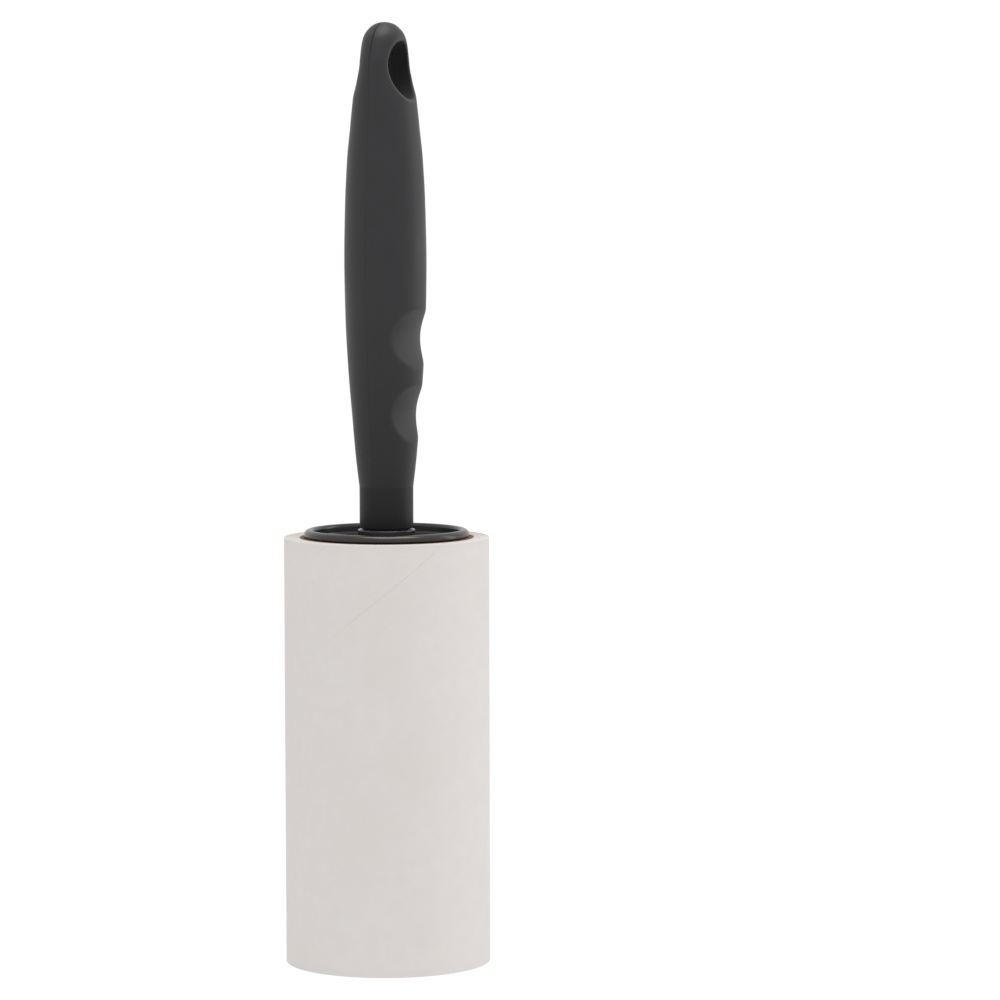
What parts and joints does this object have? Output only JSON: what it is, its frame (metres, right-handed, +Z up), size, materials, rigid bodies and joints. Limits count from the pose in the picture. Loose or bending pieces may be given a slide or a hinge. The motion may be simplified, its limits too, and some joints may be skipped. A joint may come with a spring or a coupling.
{
  "type": "lint roller",
  "caption": "Hand lint roller: moulded grip with finger grooves and hanging hole on a steel spindle, with a free-turning frame that carries a push-on paper refill.",
  "frame": {"origin": "centre of the roll's lower end face, on the plane that the roller stands on", "axes": "+Z up the spindle from the roll to the hanging loop; the hanging hole runs along Y and the finger grooves are on the grip's -Y side; +X is to the right of a viewer who faces the grooves"},
  "size_m": [0.0488, 0.0488, 0.2235],
  "materials": {
    "grip_plastic": "charcoal soft-touch plastic with a fine grain",
    "neck_plastic": "charcoal plastic, slightly darker and smoother than the grip",
    "flange_plastic": "glossy near-black plastic",
    "frame_plastic": "satin near-black plastic",
    "steel": "bright drawn steel",
    "spring_steel": "phosphated spring steel",
    "nylon": "black nylon",
    "cardboard": "brown spiral-wound board",
    "paper": "off-white coated paper"
  },
  "bodies": {
    "handle": {"grip_front_shell": "grip_plastic", "grip_back_shell": "grip_plastic", "neck": "neck_plastic", "spindle_rod": "steel", "cross_pin": "steel", "upper_washer": "nylon", "lower_washer": "nylon", "retaining_clip": "spring_steel"},
    "roller_frame": {"flange_cap": "flange_plastic", "cage": "frame_plastic", "end_cap": "frame_plastic", "upper_bush": "nylon", "lower_bush": "nylon"},
    "refill": {"cardboard_core": "cardboard", "wound_sheets": "paper", "outer_sheet": "paper"}
  },
  "joints": [
    {"name": "roller_spin", "type": "hinge", "parent": "handle", "child": "roller_frame", "pos_m": [0, 0, 0.05], "axis": [0, 0, 1], "continuous": true},
    {"name": "refill_slide", "type": "slide", "parent": "roller_frame", "child": "refill", "axis": [0, 0, -1], "range_m": [0, 0.106]}
  ]
}
